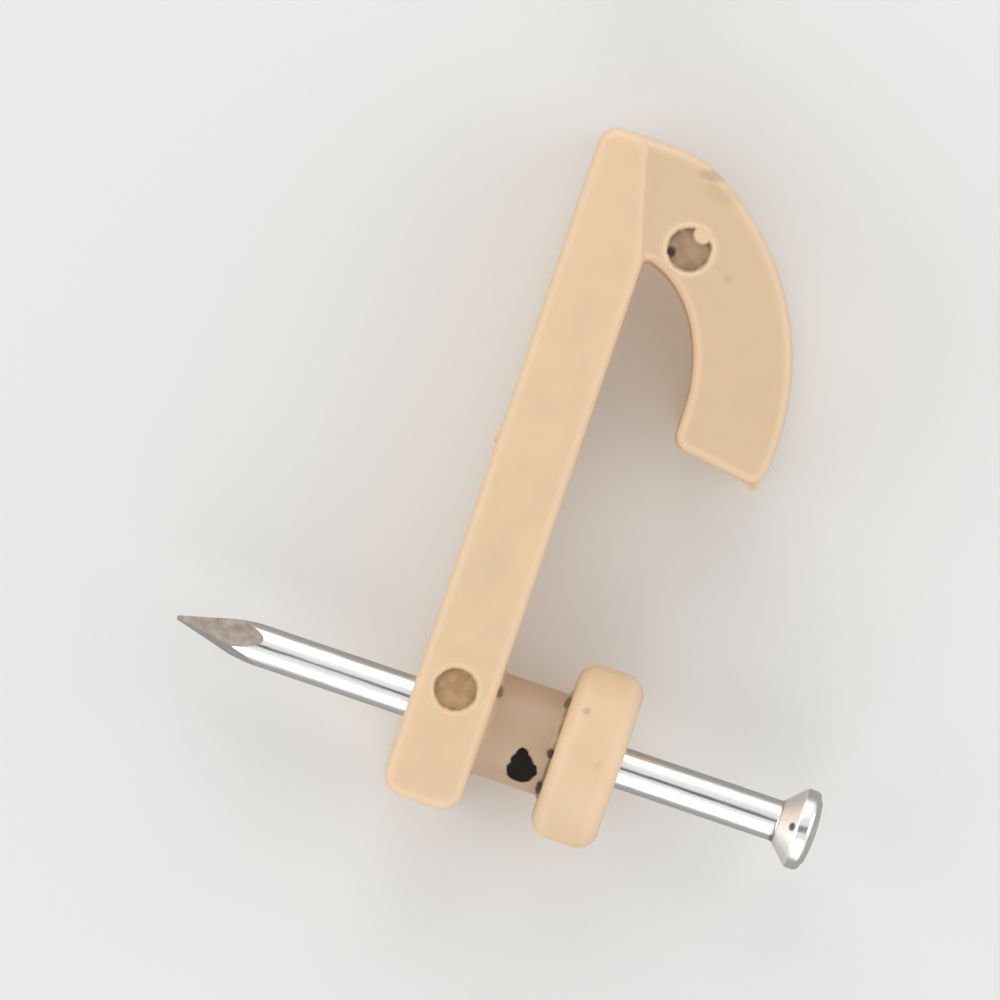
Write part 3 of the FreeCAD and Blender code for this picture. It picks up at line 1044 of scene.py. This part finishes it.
def plastic_finish():
    """The material of the moulding."""
    material, tree, shader, place = new_finish("beige_plastic")
    colour, burnt = with_wear(tree, place, form_colour(tree, place))
    plug(tree, shader.inputs["Base Color"], colour)
    sheen = sum_of(tree, "MULTIPLY_ADD", burnt, BURNT_SPECULAR - SPECULAR, SPECULAR)
    plug(tree, shader.inputs["Specular IOR Level"], sheen)
    satin = noise(tree, place, SATIN_GRAIN).outputs["Fac"]
    rough = sum_of(tree, "MULTIPLY_ADD", satin, SATIN_ROUGH_RANGE, SATIN_ROUGH_LOW)
    plug(tree, shader.inputs["Roughness"], rough)
    swell = bump(tree, noise(tree, place, SWELL_GRAIN).outputs["Fac"], SWELL_DEPTH)
    grain = bump(tree, noise(tree, place, FINE_GRAIN).outputs["Fac"], FINE_DEPTH, swell)
    plug(tree, shader.inputs["Normal"], grain)
    shader.inputs["IOR"].default_value = 1.5
    shader.inputs["Subsurface Weight"].default_value = 0.25
    shader.inputs["Subsurface Radius"].default_value = (1.0, 0.6, 0.35)
    shader.inputs["Subsurface Scale"].default_value = 0.45 * MM
    return material


hook.data.materials.append(plastic_finish())
print("Plastic finish has", len(hook.data.materials[0].node_tree.nodes), "nodes")

# %% [markdown]
# ## The steel
#
# The nail is bright drawn wire. Drawing leaves fine lines along the shank, made by noise that is
# stretched along Y, and a slight waviness that breaks up reflections. The point's sheared facets are
# duller and browner than the shank. The pair that faces up and down is painted less brown, as painted
# reflected light, so the pair that faces sideways is the brownest. The cone under the head is painted
# brighter, a painted highlight, and is less of a mirror. Two dark marks near the head are painted
# light: a spot that is a painted reflection and a thin band that is a painted shadow.

# %% The steel's node tree
STEEL = (0.79, 0.785, 0.775, 1)
STEEL_PAINTED_BRIGHT = (0.97, 0.965, 0.955, 1)
STEEL_DULL = (0.25, 0.20, 0.16, 1)
NAIL_PAINTED_DARK = (0.05, 0.04, 0.035, 1)
DRAW_STRETCH = 0.03
DRAW_GRAIN = 0.06
DRAW_DEPTH = 0.003
WAVE_GRAIN = 0.7
WAVE_DEPTH = 0.012
DULL_GRAIN = 0.3
PAINTED_LIGHT_PAIR_SHARE = 0.6
NAIL_PAINTED_SOFTNESS = 0.3
STEEL_ROUGH = 0.14
DRAW_ROUGH = 0.12
FACET_ROUGH = 0.3
CONE_ROUGH = 0.25
BORDER = 0.1
# Two dark marks near the head: a spot that is a painted reflection, and a thin band across the nail
# that is a painted shadow line.
NAIL_PAINTED_MARKS = [
    ((11.95, 0.0, 0.85), (0.11, 0.15, 0.4), 0.9),
    ((11.46, 0.45, 0.4), (0.06, 0.40, 0.5), 0.6),
]


def point_and_cone(tree, place):
    """Three masks: the facets of the point, how brown each of them is, with the pair facing up and down
    kept lighter as painted reflected light, and the cone under the head.
    """
    _, along, _ = axes_of(tree, place)
    sideways, lean, _ = axes_of(tree, tree.nodes.new("ShaderNodeNewGeometry").outputs["Normal"])
    point_start = tip_behind_wall - POINT_LENGTH
    past_start = fade(tree, along, (point_start - BORDER) * MM, point_start * MM)
    facet = all_of(tree, fade(tree, lean, 0.12, 0.19), past_start)
    # The dull brown is the sheared steel's own. The pair that faces up and down gets less of it, a
    # painted reflection of light.
    side_pair = fade(tree, sum_of(tree, "ABSOLUTE", sideways), 0.4, 0.8)
    browned_with_painted_light = sum_of(tree, "MULTIPLY_ADD", side_pair, 1 - PAINTED_LIGHT_PAIR_SHARE, PAINTED_LIGHT_PAIR_SHARE)
    cone_start = -(head_front - CROWN - RIM - CONE)
    past_shank = fade(tree, along, cone_start * MM, (cone_start - BORDER) * MM)
    cone = all_of(tree, past_shank, fade(tree, lean, 0.2, 0.5))
    return facet, all_of(tree, facet, browned_with_painted_light), cone


def steel_finish():
    """The material of the nail."""
    material, tree, shader, place = new_finish("bright_steel")
    facet, browned_with_painted_light, cone = point_and_cone(tree, place)
    blotches = noise(tree, place, DULL_GRAIN).outputs["Fac"]
    dulled = sum_of(tree, "MULTIPLY_ADD", blotches, 0.5, 0.65)
    # The cone is painted a brighter steel than the shank, a painted highlight.
    colour = tint(tree, cone, STEEL, STEEL_PAINTED_BRIGHT)
    colour = tint(tree, all_of(tree, browned_with_painted_light, dulled), colour, STEEL_DULL)
    # The painted reflection and the painted shadow line near the head.
    colour = tint(tree, marks(tree, place, NAIL_PAINTED_MARKS, NAIL_PAINTED_SOFTNESS), colour, NAIL_PAINTED_DARK)
    plug(tree, shader.inputs["Base Color"], colour)
    lengthwise = vector_of(tree, "MULTIPLY", place, (1, DRAW_STRETCH, 1))
    drawn = noise(tree, lengthwise, DRAW_GRAIN, detail=3.0).outputs["Fac"]
    rough = sum_of(tree, "MULTIPLY_ADD", drawn, DRAW_ROUGH, STEEL_ROUGH)
    rough = sum_of(tree, "MULTIPLY_ADD", facet, FACET_ROUGH, rough)
    rough = sum_of(tree, "MULTIPLY_ADD", cone, CONE_ROUGH, rough)
    plug(tree, shader.inputs["Roughness"], rough)
    lines = bump(tree, drawn, DRAW_DEPTH)
    waviness = noise(tree, place, WAVE_GRAIN, detail=1.0).outputs["Fac"]
    plug(tree, shader.inputs["Normal"], bump(tree, waviness, WAVE_DEPTH, lines))
    shader.inputs["Metallic"].default_value = 1.0
    return material


nail.data.materials.append(steel_finish())
print("Steel finish has", len(nail.data.materials[0].node_tree.nodes), "nodes")

# %% [markdown]
# ## The camera
#
# The photograph looks square at the hook's side, from far away, with the hook lying head down and
# leaning to the right. So the camera looks along -X with a long lens, and its up direction is the
# hook's downward direction, turned by that lean. The view is centred on the model's own extent.

# %% Aim the camera
LEAN_DEGREES = 18.76
LENS_MM = 400.0
SENSOR_MM = 36.0
FILL = 0.74

lean = math.radians(LEAN_DEGREES)
view_right = Vector((0, -math.cos(lean), -math.sin(lean)))
view_up = Vector((0, math.sin(lean), -math.cos(lean)))
view_back = Vector((1, 0, 0))


def extent(direction):
    """The lowest and highest place of the frame's nodes along a direction."""
    places = [vert.co.dot(direction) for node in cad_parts.values() for vert in node.data.vertices]
    return min(places), max(places)


across_low, across_high = extent(view_right)
upright_low, upright_high = extent(view_up)
aim = view_right * (across_low + across_high) / 2 + view_up * (upright_low + upright_high) / 2
frame_width = max(across_high - across_low, upright_high - upright_low) / FILL
distance = frame_width * LENS_MM / SENSOR_MM

camera_data = bpy.data.cameras.new("camera")
camera_data.lens = LENS_MM
camera_data.sensor_width = SENSOR_MM
camera_data.clip_start = 0.1 * distance
camera = bpy.data.objects.new("camera", camera_data)
turned = Matrix((view_right, view_up, view_back)).transposed()
camera.matrix_world = Matrix.Translation(aim + view_back * distance) @ turned.to_4x4()
bpy.context.scene.collection.objects.link(camera)
bpy.context.scene.camera = camera
print(f"The frame is {frame_width / MM:.1f} mm wide, {distance / MM:.0f} mm from the camera")

# %% [markdown]
# ## The floor
#
# The hook lies on its far side on a pale surface, which faces the camera. The floor's own material lets
# rays through from behind and fades out away from the hook, so that views from other sides aren't
# blocked. It catches the hook's soft shadow. Metal mirrors it darker than it is, as photographers do
# with dark cards, so that the nail's borders stand out from the pale background.

# %% A pale floor behind the hook
FLOOR_PALE = (0.84, 0.84, 0.83, 1)
FLOOR_MIRRORED = (0.46, 0.45, 0.44, 1)
FLOOR_HALF = 0.08
FLOOR_FADE_START = 0.028
FLOOR_FADE_END = 0.05
FLOOR_GAP = 0.02 * MM

floor_mesh = bpy.data.meshes.new("floor")
bm = bmesh.new()
lying = Matrix.Translation((cad_low.x - FLOOR_GAP, aim.y, aim.z)) @ Matrix.Rotation(math.pi / 2, 4, "Y")
bmesh.ops.create_grid(bm, x_segments=1, y_segments=1, size=FLOOR_HALF, matrix=lying)
bm.to_mesh(floor_mesh)
bm.free()
floor = bpy.data.objects.new("floor", floor_mesh)
bpy.context.scene.collection.objects.link(floor)
floor.visible_diffuse = False
floor.visible_shadow = False


def floor_finish():
    """The floor's material: pale, darker in reflections, and clear from behind and far out."""
    material, tree, shader, place = new_finish("floor_pale")
    mirrored = tree.nodes.new("ShaderNodeLightPath").outputs["Is Glossy Ray"]
    plug(tree, shader.inputs["Base Color"], tint(tree, mirrored, FLOOR_PALE, FLOOR_MIRRORED))
    shader.inputs["Roughness"].default_value = 0.9
    shader.inputs["Specular IOR Level"].default_value = 0.1
    radial = vector_of(tree, "DISTANCE", place, aim)
    near = fade(tree, radial, FLOOR_FADE_END, FLOOR_FADE_START)
    behind = tree.nodes.new("ShaderNodeNewGeometry").outputs["Backfacing"]
    facing = sum_of(tree, "SUBTRACT", 1.0, behind)
    plug(tree, shader.inputs["Alpha"], sum_of(tree, "MULTIPLY", near, facing))
    return material


floor.data.materials.append(floor_finish())

# %% [markdown]
# ## The light
#
# A small part for sale is shown in a light tent: soft light from all round, with a little more from
# the camera's side. Four large lamps stand round the view, and a weaker one stands on the far side
# for views from behind. Each lamp's power is worked out from the brightness of its face, so that the
# sum of lamps and world lights a surface at about its written colour. A narrow dark card, which only
# reflections show, gives the nail the dark line along its middle.

# %% Lamps
LAMP_DISTANCE = 0.16
LAMP_SIZE = 0.15
LAMP_RISE = 0.5

towards_camera = view_back * LAMP_RISE
LAMPS = [
    ("lamp_above", view_up + towards_camera, 1.55),
    ("lamp_below", -view_up + towards_camera, 1.35),
    ("lamp_left", -view_right + towards_camera, 1.0),
    ("lamp_right", view_right + towards_camera, 1.0),
    ("lamp_far", Vector((-1, 0.6, 0.8)), 0.8),
]


def soft_lamp(name, direction, brightness):
    """A square lamp that faces the hook from a direction, with a face of the given brightness."""
    data = bpy.data.lights.new(name, "AREA")
    data.shape = "SQUARE"
    data.size = LAMP_SIZE
    data.energy = brightness * math.pi * LAMP_SIZE**2
    lamp = bpy.data.objects.new(name, data)
    way = direction.normalized()
    lamp.location = aim + way * LAMP_DISTANCE
    lamp.rotation_mode = "QUATERNION"
    lamp.rotation_quaternion = way.to_track_quat("Z", "Y")
    bpy.context.scene.collection.objects.link(lamp)


for name, direction, brightness in LAMPS:
    soft_lamp(name, direction, brightness)
print("Lamps:", [name for name, _, _ in LAMPS])

# %% A dark card that only the metal sees
CARD_DISTANCE = 0.1
CARD_WIDTH = 0.024
CARD_LENGTH = 0.14
CARD_DARK = (0.12, 0.12, 0.125, 1)

card_mesh = bpy.data.meshes.new("card")
bm = bmesh.new()
sized = Matrix.Diagonal((CARD_WIDTH / 2, CARD_LENGTH / 2, 1, 1))
placed = Matrix.Translation((CARD_DISTANCE, 0, 0)) @ Matrix.Rotation(math.pi / 2, 4, "Y")
bmesh.ops.create_grid(bm, x_segments=1, y_segments=1, size=1, matrix=placed @ sized)
bm.to_mesh(card_mesh)
bm.free()
card = bpy.data.objects.new("card", card_mesh)
bpy.context.scene.collection.objects.link(card)
card.visible_camera = False
card.visible_diffuse = False
card.visible_shadow = False
card.visible_transmission = False
card_finish, _, card_shader, _ = new_finish("card_dark")
card_shader.inputs["Base Color"].default_value = CARD_DARK
card_shader.inputs["Specular IOR Level"].default_value = 0.0
card.data.materials.append(card_finish)

# %% The world, pale for the eye and softer as light
WORLD_PALE = (0.86, 0.86, 0.855, 1)
WORLD_MIRRORED = (0.97, 0.97, 0.97, 1)
WORLD_LIGHT = (1, 1, 1, 1)
WORLD_LEVEL = 0.5

world = bpy.data.worlds.new("studio")
bpy.context.scene.world = world
world.use_nodes = True
sky = world.node_tree
sky.nodes.clear()
lit = sky.nodes.new("ShaderNodeBackground")
lit.inputs["Color"].default_value = WORLD_LIGHT
lit.inputs["Strength"].default_value = WORLD_LEVEL
seen = sky.nodes.new("ShaderNodeBackground")
ray = sky.nodes.new("ShaderNodeLightPath").outputs
plug(sky, seen.inputs["Color"], tint(sky, ray["Is Glossy Ray"], WORLD_PALE, WORLD_MIRRORED))
straight_look = sum_of(sky, "MAXIMUM", ray["Is Camera Ray"], ray["Is Glossy Ray"])
look = sum_of(sky, "MAXIMUM", straight_look, ray["Is Transmission Ray"])
choice = sky.nodes.new("ShaderNodeMixShader")
plug(sky, choice.inputs[0], look)
plug(sky, choice.inputs[1], lit.outputs[0])
plug(sky, choice.inputs[2], seen.outputs[0])
sheet = sky.nodes.new("ShaderNodeOutputWorld")
plug(sky, sheet.inputs["Surface"], choice.outputs[0])

bpy.context.scene.view_settings.view_transform = "Standard"
